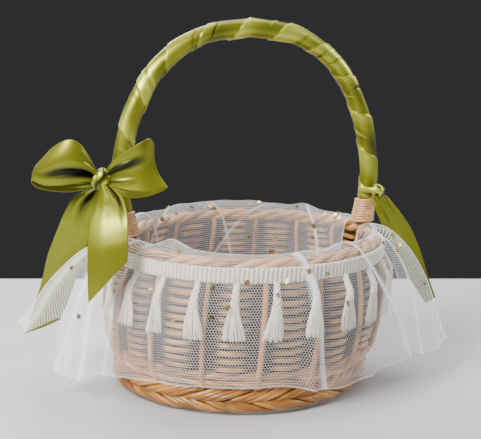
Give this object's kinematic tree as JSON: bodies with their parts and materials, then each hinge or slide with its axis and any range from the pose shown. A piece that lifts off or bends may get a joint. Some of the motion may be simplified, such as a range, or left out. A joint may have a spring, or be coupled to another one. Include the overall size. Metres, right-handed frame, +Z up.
{
  "type": "flower girl basket",
  "caption": "Round willow flower girl basket with a satin-wrapped hoop handle, bows, a spangled tulle skirt and a tasselled braid band.",
  "frame": {"origin": "centre of the standing plane, on the basket's axis, on the flat underside of the crossed base sticks", "axes": "+Z up, +X in the plane of the handle towards its right foot (the one with the tied ribbon), -Y towards the bow's side"},
  "size_m": [0.4062, 0.2966, 0.34],
  "materials": {
    "willow": "peeled willow rods, satin varnish",
    "honey_willow": "varnished buff willow rods",
    "cane": "split cane, glossy skin",
    "wood": "bare bent wood",
    "olive_satin": "single-face satin ribbon",
    "tulle": "fine hexagonal net with gold spangles",
    "cream_cotton": "matt cotton braid and fringe"
  },
  "bodies": {
    "basket": {"foot_border": "honey_willow", "waling_band": "willow", "weaver_row_1": "willow", "weaver_row_2": "willow", "weaver_row_3": "willow", "weaver_row_4": "willow", "weaver_row_5": "willow", "weaver_row_6": "willow", "base_weave": "willow", "base_sticks": "willow", "stakes_and_top_border": "willow", "handle_core": "wood", "handle_lapping_left": "cane", "handle_lapping_right": "cane", "handle_peg_left": "cane", "handle_peg_right": "cane", "handle_ribbon_wrap": "olive_satin", "bow_knot": "olive_satin", "bow_loop_left": "olive_satin", "bow_loop_right": "olive_satin", "bow_tail_front": "olive_satin", "bow_tail_back": "olive_satin", "tie_knot": "olive_satin", "tie_tail_wide": "olive_satin", "tie_tail_narrow": "olive_satin", "tulle_front": "tulle", "tulle_back": "tulle", "trim_band": "cream_cotton"},
    "tassel_01": {"tassel_01": "cream_cotton"},
    "tassel_02": {"tassel_02": "cream_cotton"},
    "tassel_03": {"tassel_03": "cream_cotton"},
    "tassel_04": {"tassel_04": "cream_cotton"},
    "tassel_05": {"tassel_05": "cream_cotton"},
    "tassel_06": {"tassel_06": "cream_cotton"},
    "tassel_07": {"tassel_07": "cream_cotton"},
    "tassel_08": {"tassel_08": "cream_cotton"},
    "tassel_09": {"tassel_09": "cream_cotton"},
    "tassel_10": {"tassel_10": "cream_cotton"},
    "tassel_11": {"tassel_11": "cream_cotton"},
    "tassel_12": {"tassel_12": "cream_cotton"},
    "tassel_13": {"tassel_13": "cream_cotton"},
    "tassel_14": {"tassel_14": "cream_cotton"},
    "tassel_15": {"tassel_15": "cream_cotton"},
    "tassel_16": {"tassel_16": "cream_cotton"},
    "tassel_17": {"tassel_17": "cream_cotton"},
    "tassel_18": {"tassel_18": "cream_cotton"},
    "tassel_19": {"tassel_19": "cream_cotton"},
    "tassel_20": {"tassel_20": "cream_cotton"},
    "tassel_21": {"tassel_21": "cream_cotton"},
    "tassel_22": {"tassel_22": "cream_cotton"},
    "tassel_23": {"tassel_23": "cream_cotton"},
    "tassel_24": {"tassel_24": "cream_cotton"}
  },
  "joints": [
    {"name": "tassel_01_swing", "type": "hinge", "parent": "basket", "child": "tassel_01", "pos_m": [0.13699, 0.01684, 0.12], "axis": [0.9914, 0.1305, 0], "range_deg": [-10, 10]},
    {"name": "tassel_02_swing", "type": "hinge", "parent": "basket", "child": "tassel_02", "pos_m": [0.12828, 0.04937, 0.12], "axis": [0.9239, 0.3827, 0], "range_deg": [-10, 10]},
    {"name": "tassel_03_swing", "type": "hinge", "parent": "basket", "child": "tassel_03", "pos_m": [0.11144, 0.07853, 0.12], "axis": [0.7934, 0.6088, 0], "range_deg": [-10, 10]},
    {"name": "tassel_04_swing", "type": "hinge", "parent": "basket", "child": "tassel_04", "pos_m": [0.08762, 0.10234, 0.12], "axis": [0.6088, 0.7934, 0], "range_deg": [-10, 10]},
    {"name": "tassel_05_swing", "type": "hinge", "parent": "basket", "child": "tassel_05", "pos_m": [0.05846, 0.11918, 0.12], "axis": [0.3827, 0.9239, 0], "range_deg": [-10, 10]},
    {"name": "tassel_06_swing", "type": "hinge", "parent": "basket", "child": "tassel_06", "pos_m": [0.02593, 0.1279, 0.12], "axis": [0.1305, 0.9914, 0], "range_deg": [-10, 10]},
    {"name": "tassel_07_swing", "type": "hinge", "parent": "basket", "child": "tassel_07", "pos_m": [-0.00774, 0.1279, 0.12], "axis": [-0.1305, 0.9914, 0], "range_deg": [-10, 10]},
    {"name": "tassel_08_swing", "type": "hinge", "parent": "basket", "child": "tassel_08", "pos_m": [-0.04027, 0.11918, 0.12], "axis": [-0.3827, 0.9239, 0], "range_deg": [-10, 10]},
    {"name": "tassel_09_swing", "type": "hinge", "parent": "basket", "child": "tassel_09", "pos_m": [-0.06943, 0.10234, 0.12], "axis": [-0.6088, 0.7934, 0], "range_deg": [-10, 10]},
    {"name": "tassel_10_swing", "type": "hinge", "parent": "basket", "child": "tassel_10", "pos_m": [-0.09325, 0.07853, 0.12], "axis": [-0.7934, 0.6088, 0], "range_deg": [-10, 10]},
    {"name": "tassel_11_swing", "type": "hinge", "parent": "basket", "child": "tassel_11", "pos_m": [-0.11009, 0.04937, 0.12], "axis": [-0.9239, 0.3827, 0], "range_deg": [-10, 10]},
    {"name": "tassel_12_swing", "type": "hinge", "parent": "basket", "child": "tassel_12", "pos_m": [-0.1188, 0.01684, 0.12], "axis": [-0.9914, 0.1305, 0], "range_deg": [-10, 10]},
    {"name": "tassel_13_swing", "type": "hinge", "parent": "basket", "child": "tassel_13", "pos_m": [-0.1188, -0.01684, 0.12], "axis": [-0.9914, -0.1305, 0], "range_deg": [-10, 10]},
    {"name": "tassel_14_swing", "type": "hinge", "parent": "basket", "child": "tassel_14", "pos_m": [-0.11009, -0.04937, 0.12], "axis": [-0.9239, -0.3827, 0], "range_deg": [-10, 10]},
    {"name": "tassel_15_swing", "type": "hinge", "parent": "basket", "child": "tassel_15", "pos_m": [-0.09325, -0.07853, 0.12], "axis": [-0.7934, -0.6088, 0], "range_deg": [-10, 10]},
    {"name": "tassel_16_swing", "type": "hinge", "parent": "basket", "child": "tassel_16", "pos_m": [-0.06943, -0.10234, 0.12], "axis": [-0.6088, -0.7934, 0], "range_deg": [-10, 10]},
    {"name": "tassel_17_swing", "type": "hinge", "parent": "basket", "child": "tassel_17", "pos_m": [-0.04027, -0.11918, 0.12], "axis": [-0.3827, -0.9239, 0], "range_deg": [-10, 10]},
    {"name": "tassel_18_swing", "type": "hinge", "parent": "basket", "child": "tassel_18", "pos_m": [-0.00774, -0.1279, 0.12], "axis": [-0.1305, -0.9914, 0], "range_deg": [-10, 10]},
    {"name": "tassel_19_swing", "type": "hinge", "parent": "basket", "child": "tassel_19", "pos_m": [0.02593, -0.1279, 0.12], "axis": [0.1305, -0.9914, 0], "range_deg": [-10, 10]},
    {"name": "tassel_20_swing", "type": "hinge", "parent": "basket", "child": "tassel_20", "pos_m": [0.05846, -0.11918, 0.12], "axis": [0.3827, -0.9239, 0], "range_deg": [-10, 10]},
    {"name": "tassel_21_swing", "type": "hinge", "parent": "basket", "child": "tassel_21", "pos_m": [0.08762, -0.10234, 0.12], "axis": [0.6088, -0.7934, 0], "range_deg": [-10, 10]},
    {"name": "tassel_22_swing", "type": "hinge", "parent": "basket", "child": "tassel_22", "pos_m": [0.11144, -0.07853, 0.12], "axis": [0.7934, -0.6088, 0], "range_deg": [-10, 10]},
    {"name": "tassel_23_swing", "type": "hinge", "parent": "basket", "child": "tassel_23", "pos_m": [0.12828, -0.04937, 0.12], "axis": [0.9239, -0.3827, 0], "range_deg": [-10, 10]},
    {"name": "tassel_24_swing", "type": "hinge", "parent": "basket", "child": "tassel_24", "pos_m": [0.13699, -0.01684, 0.12], "axis": [0.9914, -0.1305, 0], "range_deg": [-10, 10]}
  ]
}
